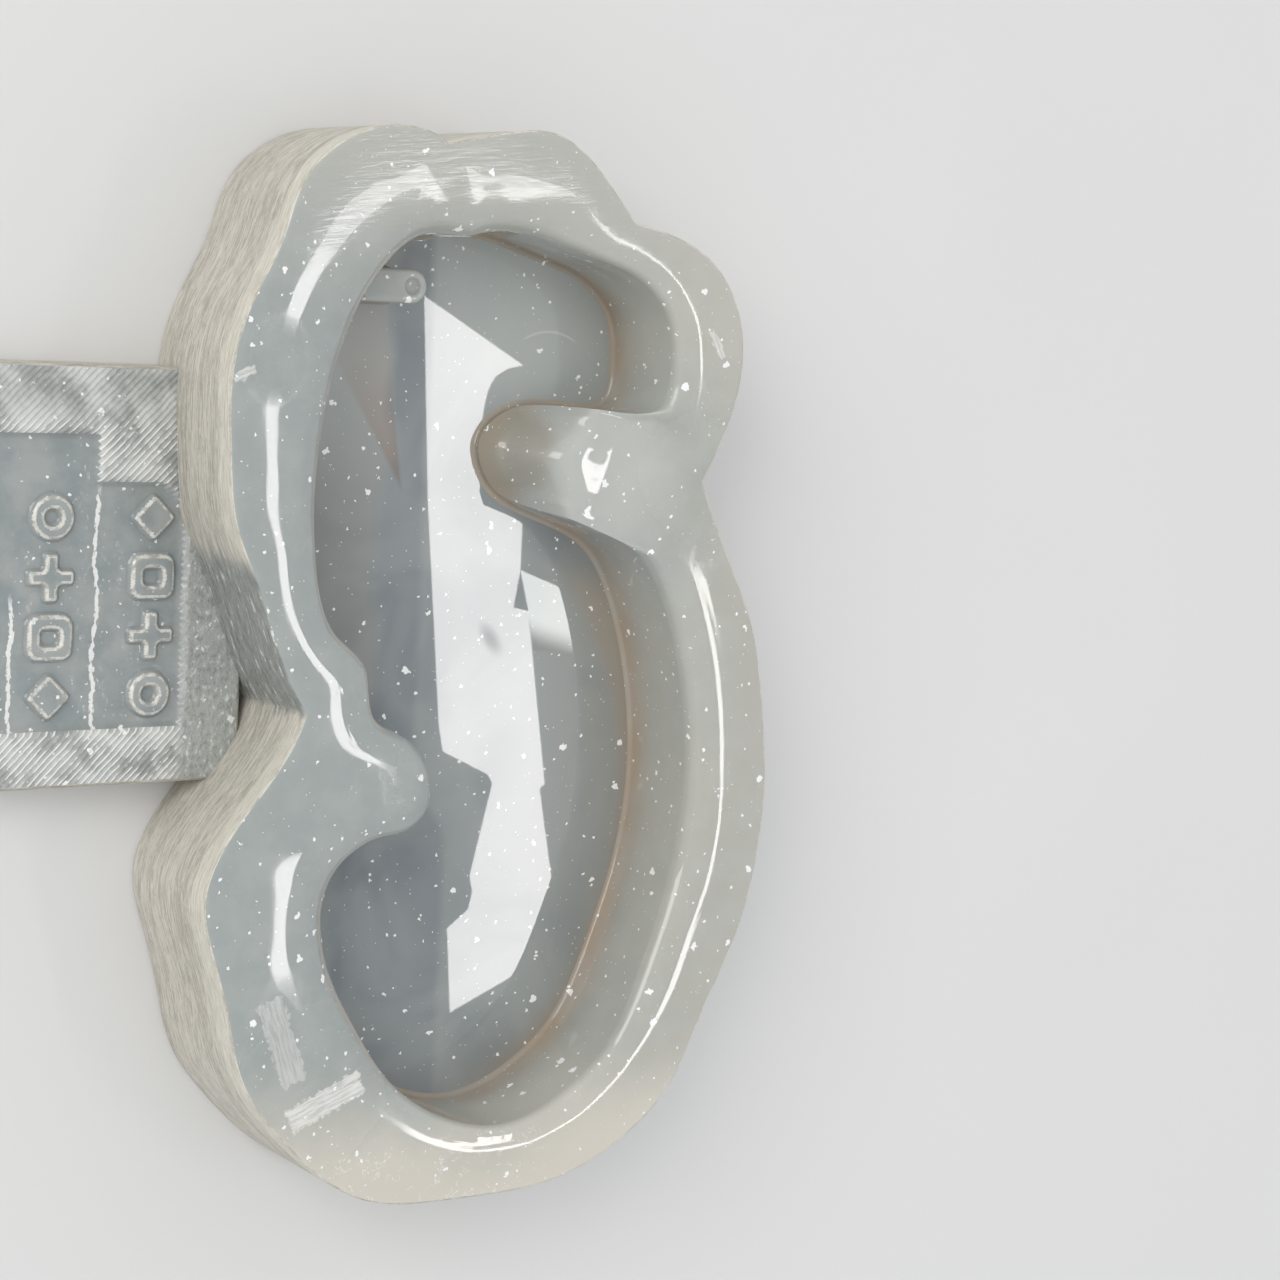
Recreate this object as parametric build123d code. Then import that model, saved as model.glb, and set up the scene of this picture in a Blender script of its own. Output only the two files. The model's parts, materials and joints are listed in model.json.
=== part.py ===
from build123d import *
import os

# An open silicone mould for casting one small resin charm, with a pull tab on its left side.
# Millimetres, +Z up. The origin is the middle of the underside's bounding box.
# The mould is one pour of silicone. Its sections are separate solids that meet face to face.

HEIGHT = 12.5          # underside to rim
SLAB = 3.3             # silicone under the cavity, level with the tab's recessed panel
RIM_ROUND = 2.2        # rounding of the rim towards the cavity
FAR = 60               # farther than the mould reaches in any direction

TONGUE_X = -5.0, 22.2  # the tongue is the part of the wall between these x and y values
TONGUE_Y = 4.0, 21.5
LOBE_X = -4.3, 8.0     # and the waist lobe is the part between these
LOBE_Y = -15.5, 1.5

TAB_END = -33.3        # free end of the tab
NECK_FAR = -23.9       # the tab's flexing strip runs between these two
NECK_NEAR = -20.9
TAB_LOW = -8.6
TAB_HIGH = 22.5
TAB_CORNER = 2.0
TAB_ROOT = -6.0        # the tab's root runs in under the body's wall to here

BORDER = 0.6           # the tab's border stands this far above its panel
PANEL_LOW = -4.4
PANEL_HIGH = 17.4
STEP_HIGH = 13.9       # the panel is narrower beside the body
STEP_X = -23.0
PANEL_NEAR = -15.9
PANEL_CHAMFER = 2.0
BORDER_SPLIT = 11.3    # the panel touches the wall here, which parts the border in two

MARK = 0.45            # the raised marks stand this far above the panel
MARK_WIDTH = 3.6
MARK_DEPTH = 3.4
MARK_BAR = 1.1
MARK_DIAMOND = 2.5     # side of the diamond
MARK_PITCH = 4.4
MARK_ROUND = 0.3
INNER_MARKS_X = -18.4
OUTER_MARKS_X = -26.4
MARKS_Y = -1.9         # the lowest mark of each column

PEG_TIP = 1.6          # right end of the peg that leaves a hole for a key ring
PEG_ROOT = -3.0        # the peg meets the wall here
PEG_Y = 29.3
PEG_WIDTH = 2.6
PEG_TOP = 8.0
DIMPLE_X = 0.3
DIMPLE_RADIUS = 0.7
DIMPLE_DEPTH = 0.4

# Outline of the body, lobe by lobe. Neighbouring lobes meet in a notch.
LEFT_UPPER_LOBE = [
    (0.3, 40.0), (-3.0, 41.0), (-6.5, 40.5), (-9.8, 38.7), (-12.0, 36.0), (-13.2, 32.5),
    (-15.7, 27.3), (-17.0, 22.0), (-16.9, 17.0), (-16.2, 11.5), (-14.3, 7.0), (-12.4, 2.0),
    (-10.0, -2.5),
]
LEFT_LOWER_LOBE = [
    (-10.0, -2.5), (-12.6, -7.2), (-16.4, -12.2), (-17.7, -15.8), (-16.8, -20.5), (-15.5, -25.0),
    (-14.2, -29.8), (-10.8, -34.6), (-7.2, -38.1), (-3.2, -40.5), (4.0, -41.5), (9.1, -41.6),
    (14.1, -41.2), (20.5, -38.7), (25.4, -34.4), (27.8, -29.5), (31.6, -21.5), (32.8, -16.5),
    (33.3, -11.4), (32.5, -3.0), (31.4, 2.1), (28.3, 8.7), (25.2, 15.1),
]
RIGHT_LOBE = [
    (25.2, 15.1), (27.0, 18.5), (28.6, 24.8), (27.5, 29.6), (24.8, 32.7), (19.7, 34.7),
    (17.5, 35.1),
]
TOP_LOBE = [
    (17.5, 35.1), (15.9, 36.8), (13.1, 39.6), (9.7, 41.4), (6.3, 41.3), (3.7, 40.8), (0.3, 40.0),
]

# Outline of the cavity, one closed curve, clockwise from the top.
CAVITY = [
    (4.2, 33.4), (8.1, 33.8), (14.2, 32.3), (18.6, 30.8), (21.4, 28.2), (22.3, 24.3), (21.4, 20.7),
    (18.1, 20.3), (11.8, 19.9), (9.4, 17.6), (10.2, 14.4), (13.8, 12.0), (20.4, 9.0), (23.4, 4.2),
    (25.3, -2.2), (26.0, -10.8), (25.0, -17.5), (22.7, -24.3), (19.4, -30.8), (15.0, -34.4),
    (9.5, -36.2), (4.0, -35.0), (0.0, -32.4), (-3.8, -27.2), (-6.2, -21.5), (-6.6, -17.8),
    (-5.4, -14.5), (-3.0, -12.7), (-0.2, -12.1), (1.6, -10.3), (1.5, -7.5), (-0.6, -4.8),
    (-3.2, -3.3), (-4.3, 0.8), (-6.9, 3.3), (-8.2, 6.0), (-8.8, 11.5), (-8.1, 19.0), (-6.2, 26.0),
    (-3.2, 31.0), (0.0, 33.2),
]

# The top of the tongue seen from the side, as x and z. It climbs steeply, then gently to the rim.
TONGUE_TOP = [(9.2, 3.7), (10.8, 6.1), (12.4, 8.3), (14.0, 9.7), (16.2, 10.4), (19.0, 11.2), (22.2, 12.5)]


def body_outline():
    with BuildSketch() as sketch:
        with BuildLine():
            Spline(*LEFT_UPPER_LOBE)
            Spline(*LEFT_LOWER_LOBE)
            Spline(*RIGHT_LOBE)
            Spline(*TOP_LOBE)
        make_face()
    return sketch.sketch


def cavity_outline():
    with BuildSketch() as sketch:
        with BuildLine():
            Spline(*CAVITY, periodic=True)
        make_face()
    return sketch.sketch


def tab_outline():
    """The whole tab, from its free end to its root under the body's wall."""
    corner = Align.MIN, Align.MIN
    plan = Pos(TAB_END, TAB_LOW) * Rectangle(TAB_ROOT - TAB_END, TAB_HIGH - TAB_LOW, align=corner)
    ends = [v for v in plan.vertices() if v.X < TAB_END + 1]
    return fillet(ends, TAB_CORNER)


def panel_outline():
    """The tab's recessed panel, open past the free end and stepped beside the body."""
    beyond = TAB_END - 5
    cut = PANEL_CHAMFER
    return Polygon(
        (beyond, PANEL_LOW),
        (PANEL_NEAR, PANEL_LOW),
        (PANEL_NEAR, STEP_HIGH - cut),
        (PANEL_NEAR - cut, STEP_HIGH),
        (STEP_X, STEP_HIGH),
        (STEP_X, PANEL_HIGH),
        (beyond, PANEL_HIGH),
        align=None,
    )


def raise_up(face, z0, z1):
    return Pos(0, 0, z0) * extrude(face, z1 - z0)


def block(x0, x1, y0, y1, z0, z1):
    box = Box(x1 - x0, y1 - y0, z1 - z0, align=(Align.MIN, Align.MIN, Align.MIN))
    return Pos(x0, y0, z0) * box


def between(x0, x1):
    """A block that holds everything of the mould between two x values."""
    return block(x0, x1, -FAR, FAR, -FAR, FAR)


def wall_ring():
    """The wall with its rim rounded towards the cavity, the tongue and waist lobe included."""
    ring = raise_up(body_outline(), SLAB, HEIGHT) - raise_up(cavity_outline(), SLAB, HEIGHT)
    curve = cavity_outline().face().outer_wire()
    top = [e for e in ring.edges() if abs(e.bounding_box().min.Z - HEIGHT) < 0.001]
    rim = [e for e in top if curve.distance_to(Vector((e @ 0.5).X, (e @ 0.5).Y, 0)) < 0.01]
    return ring.fillet(RIM_ROUND, rim)


def above_tongue():
    """The space over the tongue's sloping top, from the open cavity beside its tip to the wall."""
    foot_x, foot_z = TONGUE_TOP[0]
    root_x, root_z = TONGUE_TOP[-1]
    beside = foot_x - 4
    above = HEIGHT + 2
    with BuildSketch(Plane.XZ) as sketch:
        with BuildLine():
            Spline(*TONGUE_TOP)
            Polyline((root_x, root_z), (root_x, above), (beside, above), (beside, foot_z), (foot_x, foot_z))
        make_face()
    return extrude(sketch.sketch, FAR, both=True)


def ring_hole_peg():
    """A capsule on the cavity floor. It leaves the charm's key-ring hole."""
    radius = PEG_WIDTH / 2
    tip = Pos(PEG_TIP - radius, PEG_Y) * Circle(radius)
    stem = Pos(PEG_ROOT, PEG_Y - radius) * Rectangle(
        PEG_TIP - radius - PEG_ROOT, PEG_WIDTH, align=(Align.MIN, Align.MIN)
    )
    peg = raise_up(tip + stem, SLAB, PEG_TOP)
    dimple = Pos(DIMPLE_X, PEG_Y, PEG_TOP - DIMPLE_DEPTH / 2) * Cylinder(
        DIMPLE_RADIUS, DIMPLE_DEPTH
    )
    return peg - dimple - raise_up(body_outline() - cavity_outline(), SLAB, HEIGHT)


def mark_ring():
    return Circle(MARK_DEPTH / 2) - Circle(MARK_DEPTH / 2 - MARK_BAR)


def mark_cross():
    bar = Rectangle(MARK_WIDTH, MARK_BAR)
    return fillet((bar + Rot(0, 0, 90) * bar).vertices(), MARK_ROUND)


def mark_frame():
    """A square frame."""
    outside = fillet(Rectangle(MARK_WIDTH, MARK_DEPTH).vertices(), 3 * MARK_ROUND)
    inside = Rectangle(MARK_WIDTH - 2 * MARK_BAR, MARK_DEPTH - 2 * MARK_BAR)
    return outside - fillet(inside.vertices(), MARK_ROUND)


def mark_diamond():
    """A filled diamond."""
    return fillet((Rot(0, 0, 45) * Rectangle(MARK_DIAMOND, MARK_DIAMOND)).vertices(), MARK_ROUND)


def save(shape, name):
    solids = shape.solids()
    assert len(solids) == 1, name
    export_step(Compound(label=name, children=list(solids)), f"parts/{name}.step")


def save_body():
    past_neck = Pos(NECK_NEAR, 0) * Rectangle(FAR, 2 * FAR, align=(Align.MIN, Align.CENTER))
    tab_root = tab_outline() & past_neck
    save(raise_up(body_outline() + tab_root, 0, SLAB), "base_slab")
    ring = wall_ring()
    tongue_zone = block(*TONGUE_X, *TONGUE_Y, 0, FAR)
    lobe_zone = block(*LOBE_X, *LOBE_Y, 0, FAR)
    save(ring - tongue_zone - lobe_zone, "outer_wall")
    save((ring & tongue_zone) - above_tongue(), "cavity_tongue")
    save(ring & lobe_zone, "waist_lobe")
    save(ring_hole_peg(), "ring_hole_peg")


def save_tab():
    plate = raise_up(tab_outline(), 0, SLAB)
    border = raise_up(tab_outline() - panel_outline(), SLAB, SLAB + BORDER)
    neck = between(NECK_FAR, NECK_NEAR)
    save((plate + border) & neck, "tab_flex_strip")
    save(plate & between(TAB_END - 1, NECK_FAR), "tab_end_plate")
    upper = block(-FAR, FAR, BORDER_SPLIT, FAR, 0, FAR)
    lower = block(-FAR, FAR, -FAR, BORDER_SPLIT, 0, FAR)
    far = border & between(TAB_END - 1, NECK_FAR)
    save(far & upper, "tab_end_border_upper")
    save(far & lower, "tab_end_border_lower")
    near = (border & between(NECK_NEAR, 0)) - raise_up(body_outline(), 0, HEIGHT)
    save(near & upper, "tab_root_border_upper")
    save(near & lower, "tab_root_border_lower")


def save_marks():
    shapes = [mark_ring(), mark_cross(), mark_frame(), mark_diamond()]
    for n, shape in enumerate(shapes):
        y = MARKS_Y + n * MARK_PITCH
        mark = raise_up(shape, SLAB, SLAB + MARK)
        save(Pos(INNER_MARKS_X, y) * mark, f"root_mark_{n + 1}")
    for n, shape in enumerate(reversed(shapes)):
        y = MARKS_Y + n * MARK_PITCH
        mark = raise_up(shape, SLAB, SLAB + MARK)
        save(Pos(OUTER_MARKS_X, y) * mark, f"end_mark_{n + 1}")


os.makedirs("parts", exist_ok=True)
save_body()
save_tab()
save_marks()
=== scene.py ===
import json
import math

import bmesh
import bpy
import numpy as np
from mathutils import Matrix, Vector
from mathutils.geometry import delaunay_2d_cdt

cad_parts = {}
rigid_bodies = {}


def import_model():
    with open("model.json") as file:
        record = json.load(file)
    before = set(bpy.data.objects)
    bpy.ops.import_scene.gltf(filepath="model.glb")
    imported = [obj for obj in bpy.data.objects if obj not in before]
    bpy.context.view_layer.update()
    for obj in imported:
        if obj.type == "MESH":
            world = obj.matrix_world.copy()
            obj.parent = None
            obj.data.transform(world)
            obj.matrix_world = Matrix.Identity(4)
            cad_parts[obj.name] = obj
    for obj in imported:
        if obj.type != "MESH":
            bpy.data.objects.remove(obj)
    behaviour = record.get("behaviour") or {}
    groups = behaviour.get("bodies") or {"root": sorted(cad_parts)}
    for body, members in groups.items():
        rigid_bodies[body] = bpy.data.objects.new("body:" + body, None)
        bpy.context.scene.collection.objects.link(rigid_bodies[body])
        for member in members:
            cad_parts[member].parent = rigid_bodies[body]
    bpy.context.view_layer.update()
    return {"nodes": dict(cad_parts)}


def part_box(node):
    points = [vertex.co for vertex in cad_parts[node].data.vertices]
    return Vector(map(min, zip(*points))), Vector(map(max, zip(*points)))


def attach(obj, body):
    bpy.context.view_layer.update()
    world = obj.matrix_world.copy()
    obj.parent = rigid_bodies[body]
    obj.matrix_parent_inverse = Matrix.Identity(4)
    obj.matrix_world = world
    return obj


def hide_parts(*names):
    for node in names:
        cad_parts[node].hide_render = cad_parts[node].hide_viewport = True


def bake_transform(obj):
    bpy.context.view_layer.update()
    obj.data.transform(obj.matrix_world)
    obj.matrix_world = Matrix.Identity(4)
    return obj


# The looks of the silicone casting mould. Meshes are in metres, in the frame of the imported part.
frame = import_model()

MM = 0.001
BODY = "mould_body"
TAB = "tab"

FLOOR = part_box("base_slab")[1][2]
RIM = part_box("outer_wall")[1][2]

RIM_POWER = 2.2           # above 2, the rim's rounding is fuller than an ellipse
RIM_DROP = 0.85           # a rounding's drop against its width
DOME_SLOPE = 0.045        # slope of the rim's flat top where its highlight runs

# How the rim differs round the mould, in millimetres: x, y, and how far the flat top's slope line
# stands back from the cavity. The rim is broad on the left and above, and narrow on the right.
RIM_SHAPE = (
    (-13.8, 20.6, 5.5), (-13.1, 14.8, 4.6), (-11.6, 7.5, 3.2), (-8.9, 1.5, 2.7), (-7.2, -2.3, 3.1),
    (-13.0, -14.0, 6.2), (-12.2, -20.8, 5.4), (-6.0, -34.0, 2.6), (2.0, -37.5, 1.4), (9.0, -38.0, 0.9),
    (18.0, -33.0, 1.3), (25.1, -23.4, 1.9), (28.1, -15.3, 2.4), (28.1, -7.0, 2.2), (26.5, 2.1, 2.3),
    (24.2, 21.1, 1.8), (24.5, 25.0, 1.3), (20.1, 30.8, 1.2), (16.2, 33.0, 1.4), (8.5, 37.6, 3.6),
    (3.1, 37.4, 4.0), (-3.7, 36.6, 4.4), (-7.8, 34.2, 5.0), (-11.0, 28.0, 5.4), (12.5, 16.0, 3.6),
    (19.0, 15.0, 2.6), (-1.0, -9.0, 2.4),
)
SHAPE_BLEND = 4.0 * MM            # how softly one place's shape passes into the next
ROUNDING_WIDTH = (0.4 * MM, 0.6)  # the rounding's width, and what each metre of standing back adds
DOME_RADIUS = (12 * MM, 17)       # the same for the radius of the flat top's dome

# The tongue's end is a steep ramp round its tip, then a low crown, then a climb to the rim. Along
# and across are measured from the tip.
TONGUE_TIP = np.array((9.3, 17.0)) * MM
TONGUE_WAY = np.array((0.98, -0.19))
TONGUE_SIDE = np.array((0.19, 0.98))
TONGUE_REACH = (-1.5 * MM, 7.5 * MM)  # the end starts here along, and is this wide to each side
RAMP_FOOT = 0.6 * MM
RAMP_SLOPE = 1.8          # rise against the distance from the cavity
RAMP_TOP = 6.9 * MM       # height over the floor where the ramp ends
CROWN = (6.5 * MM, 0.2 * MM)  # along and across, where the crown has these slopes
CROWN_SLOPE = (0.0155, 0.0215)
CROWN_RADIUS = (157 * MM, 37 * MM)
CROWN_END = 9.5 * MM      # the crown's height changes no more along from here
# Three soft steps of the height: how long each is, and where its middle is.
UPRIGHT_STEP = (5.4 * MM, 5.2 * MM)
CLIMB_STEP = (9 * MM, 13 * MM)
SHOULDER_STEP = (3 * MM, 6 * MM)
CLIMB = 3.4 * MM
SHOULDER = 4.0 * MM
TONGUE_BLEND = 1.6 * MM
RIM_BLEND = 0.8 * MM
FAR_ABOVE = RIM + 20 * MM

ROUNDING_V = 100          # V of the rounding's foot in the UV map, which rises to its top
RIM_ROWS = 13
RIM_PART = 0.8            # the rows climb this part of the drop, the rest is a fine net
CREST_NET = 0.34 * MM
CREST_PASSES = 14         # times that the net's heights are evened
EDGE_ROUND = 0.14 * MM    # the outer top edge is crisp
FOOT_ROUND = 0.35 * MM
FLOOR_FILLET = 0.4 * MM
FILLET_ROWS = 5


# ---------------- outlines from the CAD nodes

def section_edges(names, height):
    """Edges round the CAD nodes' flat faces at this height, without those that two nodes share."""
    count = {}
    for name in names:
        work = bmesh.new()
        work.from_mesh(frame["nodes"][name].data)
        bmesh.ops.remove_doubles(work, verts=work.verts, dist=1e-6)
        work.normal_update()
        for edge in work.edges:
            if len(edge.link_faces) != 2:
                continue
            if any(abs(v.co.z - height) > 1e-5 for v in edge.verts):
                continue
            level = [abs(f.normal.z) > 0.9 for f in edge.link_faces]
            if level[0] == level[1]:
                continue
            key = frozenset((round(v.co.x, 6), round(v.co.y, 6)) for v in edge.verts)
            count[key] = count.get(key, 0) + 1
        work.free()
    return [tuple(key) for key, n in count.items() if n == 1 and len(key) == 2]


def chained(edges):
    """Closed loops of points from loose edges, longest first."""
    near = {}
    for a, b in edges:
        near.setdefault(a, []).append(b)
        near.setdefault(b, []).append(a)
    loops = []
    left = set(near)
    while left:
        here = min(left)
        loop = [here]
        left.discard(here)
        while True:
            onward = [p for p in near[here] if p in left]
            if not onward:
                break
            here = onward[0]
            left.discard(here)
            loop.append(here)
        loops.append(np.array(loop))
    loops.sort(key=lambda loop: -np.ptp(loop[:, 1]))
    return loops


def signed_area(loop):
    x, y = loop[:, 0], loop[:, 1]
    return 0.5 * float(np.sum(x * np.roll(y, -1) - np.roll(x, -1) * y))


def lengths_along(points):
    """How far along the line of points each of them is."""
    return np.r_[0, np.cumsum(np.linalg.norm(np.diff(points, axis=0), axis=1))]


def spline_through(points, closed):
    """Cubic spline through the points, by chord length: periodic if closed, and otherwise with
    quadratic ends. Returns the points' lengths and a function from length to place."""
    pts = np.vstack([points, points[:1]]) if closed else points
    s = lengths_along(pts)
    n = len(pts)
    h = np.diff(s)
    slope = np.diff(pts, axis=0) / h[:, None]
    matrix = np.zeros((n, n))
    right = np.zeros((n, 2))
    for i in range(1, n - 1):
        matrix[i, i - 1 : i + 2] = h[i - 1], 2 * (h[i - 1] + h[i]), h[i]
        right[i] = 6 * (slope[i] - slope[i - 1])
    if closed:
        matrix[0, 0] = 2 * (h[-1] + h[0])
        matrix[0, 1] = h[0]
        matrix[0, n - 2] = h[-1]
        right[0] = 6 * (slope[0] - slope[-1])
        matrix[n - 1, n - 1] = 1
        matrix[n - 1, 0] = -1
    else:
        matrix[0, :2] = 1, -1
        matrix[n - 1, n - 2 :] = -1, 1
    bend = np.linalg.solve(matrix, right)

    def at(t):
        i = np.clip(np.searchsorted(s, t, side="right") - 1, 0, n - 2)
        a = (s[i + 1] - t) / h[i]
        b = (t - s[i]) / h[i]
        cubic = (a**3 - a)[:, None] * bend[i] + (b**3 - b)[:, None] * bend[i + 1]
        return a[:, None] * pts[i] + b[:, None] * pts[i + 1] + cubic * (h[i] ** 2)[:, None] / 6

    return s, at


def evened(loop, spacing, corner_deg=22):
    """The loop as evenly spaced points on smooth curves that meet at its sharp corners."""
    if signed_area(loop) < 0:
        loop = loop[::-1]
    ahead = np.roll(loop, -1, 0) - loop
    behind = loop - np.roll(loop, 1, 0)
    cross = behind[:, 0] * ahead[:, 1] - behind[:, 1] * ahead[:, 0]
    turn = np.degrees(np.abs(np.arctan2(cross, (ahead * behind).sum(1))))
    corners = [int(i) for i in np.flatnonzero(turn > corner_deg)]
    if not corners:
        s, at = spline_through(loop, True)
        n = int(round(s[-1] / spacing))
        return at(np.arange(n) * s[-1] / n)
    out = []
    for k, start in enumerate(corners):
        end = corners[(k + 1) % len(corners)]
        span = (end - start) % len(loop) or len(loop)
        pts = loop[(start + np.arange(span + 1)) % len(loop)]
        s, at = spline_through(pts, False)
        n = max(2, int(round(s[-1] / spacing)))
        out.append(at(np.arange(n) * s[-1] / n))
    return np.vstack(out)


def outward(loop):
    """Unit normals that point away from the inside of an anticlockwise loop."""
    t = np.roll(loop, -1, 0) - np.roll(loop, 1, 0)
    t /= np.linalg.norm(t, axis=1)[:, None]
    return np.c_[t[:, 1], -t[:, 0]]


def distance_to(points, loop):
    """Distance of each point to the closed polyline."""
    d = np.roll(loop, -1, 0) - loop
    dd = (d * d).sum(1)
    out = np.empty(len(points))
    batch = 400               # points at a time, which limits the memory
    for k in range(0, len(points), batch):
        w = points[k : k + batch][:, None] - loop[None]
        t = np.clip((w * d[None]).sum(2) / dd, 0, 1)
        out[k : k + batch] = np.sqrt(((w - t[..., None] * d[None]) ** 2).sum(2)).min(1)
    return out


def is_inside(points, loop):
    x, y = points[:, 0][:, None], points[:, 1][:, None]
    x0, y0 = loop[:, 0][None], loop[:, 1][None]
    x1, y1 = np.roll(loop[:, 0], -1)[None], np.roll(loop[:, 1], -1)[None]
    crosses = (y0 > y) != (y1 > y)
    with np.errstate(divide="ignore", invalid="ignore"):
        at = x0 + (y - y0) * (x1 - x0) / (y1 - y0)
    return (crosses & (x < at)).sum(1) % 2 == 1


WALL_NODES = ("outer_wall", "cavity_tongue", "waist_lobe")
wall_loops = chained(section_edges(WALL_NODES, FLOOR))
body_loop = evened(wall_loops[0], 0.35 * MM)
cavity_loop = evened(wall_loops[1], 0.25 * MM, 60)
body_normals = outward(body_loop)
cavity_normals = outward(cavity_loop)


# ---------------- mesh helpers

for old in list(bpy.data.objects):
    if old.name in ("Cube", "Light", "Camera"):
        bpy.data.objects.remove(old)


def new_object(name, data):
    made = bpy.data.objects.new(name, data)
    bpy.context.scene.collection.objects.link(made)
    return made


class Skin:
    """Collects rows of points and faces for one mesh, with a material and UV for each face.
    A face without its own UV has its corners' x and y in millimetres."""

    MOST_SMOOTH = 8           # a face with more corners than this is a flat cap

    def __init__(self):
        self.points = []
        self.faces = []
        self.kinds = []
        self.uvs = []

    def row(self, loop, z):
        first = len(self.points)
        height = np.broadcast_to(z, len(loop))
        self.points += [(x, y, h) for (x, y), h in zip(loop, height)]
        return np.arange(first, first + len(loop))

    def face(self, corners, kind, uv=None):
        self.faces.append(tuple(int(i) for i in corners))
        self.kinds.append(kind)
        self.uvs.append(uv)

    def strip(self, low, high, kind, along=None, v_low=0.0, v_high=1.0):
        """Quads between two closed rows. They face outward if the rows run anticlockwise."""
        n = len(low)
        for i in range(n):
            j = (i + 1) % n
            uv = None
            if along is not None:
                a, b = along[i], along[i] + (along[1] - along[0])
                uv = ((a, v_low), (b, v_low), (b, v_high), (a, v_high))
            self.face((low[i], low[j], high[j], high[i]), kind, uv)

    def strips(self, rows, kind, along=None, levels=None, inward=False):
        """A strip between each row and the next. The levels are the rows' V."""
        levels = levels or [0.0] * len(rows)
        for k in range(len(rows) - 1):
            low, high = (k + 1, k) if inward else (k, k + 1)
            self.strip(rows[low], rows[high], kind, along, levels[low], levels[high])

    def cap(self, row, kind, up):
        self.face(row if up else row[::-1], kind)

    def net(self, verts, tris, rows, z, kind):
        """A net whose first points are those of the rows, in order. The others are added at z."""
        fixed = sum(len(row) for row in rows)
        index = np.concatenate((*rows, self.row(verts[fixed:], z[fixed:])))
        for t in tris:
            self.face(index[list(t)], kind)

    def mesh(self, name):
        mesh = bpy.data.meshes.new(name)
        mesh.from_pydata(self.points, [], self.faces)
        layer = mesh.uv_layers.new(name="UVMap")
        flat = np.zeros(2 * len(mesh.loops))
        place = 0
        for face, uv in zip(self.faces, self.uvs):
            if uv is None:
                uv = [(self.points[i][0] / MM, self.points[i][1] / MM) for i in face]
            flat[place : place + 2 * len(uv)] = np.ravel(uv)
            place += 2 * len(uv)
        layer.data.foreach_set("uv", flat)
        mesh.polygons.foreach_set("material_index", self.kinds)
        mesh.polygons.foreach_set("use_smooth", [len(face) <= self.MOST_SMOOTH for face in self.faces])
        mesh.update()
        return mesh


def net_between(outer, inner, spacing):
    """A triangle net of the ring between two loops. Returns its points and triangles.
    The first points are the outer loop's and then the inner loop's, in order."""
    low, high = outer.min(0), outer.max(0)
    rise = spacing * math.sqrt(3) / 2
    clearance = 0.45 * spacing
    grid = []
    for k, y in enumerate(np.arange(low[1], high[1], rise)):
        shift = spacing / 2 if k % 2 else 0.0
        grid += [(x + shift, y) for x in np.arange(low[0], high[0], spacing)]
    grid = np.array(grid)
    grid = grid[is_inside(grid, outer)]
    grid = grid[distance_to(grid, outer) > clearance]
    if inner is not None:
        grid = grid[~is_inside(grid, inner)]
        grid = grid[distance_to(grid, inner) > clearance]
    loops = [outer] if inner is None else [outer, inner]
    pts = np.vstack(loops + [grid])
    edges = []
    first = 0
    for loop in loops:
        n = len(loop)
        edges += [(first + i, first + (i + 1) % n) for i in range(n)]
        first += n
    found = delaunay_2d_cdt([Vector(p) for p in pts / MM], edges, [], 0, 1e-7)
    verts = np.array([tuple(v) for v in found[0]]) * MM
    assert len(verts) == len(pts)
    tris = found[2]
    middle = np.array([verts[list(t)].mean(0) for t in tris])
    keep = is_inside(middle, outer)
    if inner is not None:
        keep &= ~is_inside(middle, inner)
    return verts, [t for t, k in zip(tris, keep) if k]


def rim_shape(points):
    """At each place: the rounding's width and drop, and the flat top's extent and its drop."""
    anchors = np.array(RIM_SHAPE) * MM
    apart = ((points[:, None] - anchors[None, :, :2]) ** 2).sum(2)
    weight = 1 / (apart + SHAPE_BLEND**2) ** 2
    back = (weight * anchors[None, :, 2]).sum(1) / weight.sum(1)
    width = ROUNDING_WIDTH[0] + ROUNDING_WIDTH[1] * back
    radius = DOME_RADIUS[0] + DOME_RADIUS[1] * back
    reach = back + DOME_SLOPE * radius
    return width, RIM_DROP * width, reach, reach**2 / (2 * radius)


def step(x, width, middle=0.0):
    """0 below the middle, 1 above, soft over this width."""
    t = np.clip((x - middle) / width + 0.5, 0, 1)
    return t * t * (3 - 2 * t)


def soft_min(a, b, width):
    overlap = np.maximum(width - np.abs(a - b), 0)
    return np.minimum(a, b) - overlap**2 / (4 * width)


def tongue_limit(d, points):
    """How high the tongue's sloping end lets the surface be. Far above the rim everywhere else."""
    along = (points - TONGUE_TIP) @ TONGUE_WAY
    across = (points - TONGUE_TIP) @ TONGUE_SIDE
    upright = (RIM - FLOOR) * step(along, *UPRIGHT_STEP)
    ramp = FLOOR + RAMP_FOOT + RAMP_SLOPE * d + upright
    top = FLOOR + RAMP_TOP
    from_crown = (np.minimum(along, CROWN_END) - CROWN[0], across - CROWN[1])
    for away, slope, radius in zip(from_crown, CROWN_SLOPE, CROWN_RADIUS):
        top = top + slope * away - away**2 / (2 * radius)
    top += CLIMB * step(along, *CLIMB_STEP) + SHOULDER * step(abs(across), *SHOULDER_STEP)
    near = (along > TONGUE_REACH[0]) & (abs(across) < TONGUE_REACH[1])
    return np.where(near, soft_min(ramp, top, TONGUE_BLEND), FAR_ABOVE)


def rounding(part):
    """A part of the drop as a part of the width, and the other way round."""
    return 1 - (1 - part**RIM_POWER) ** (1 / RIM_POWER)


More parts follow.
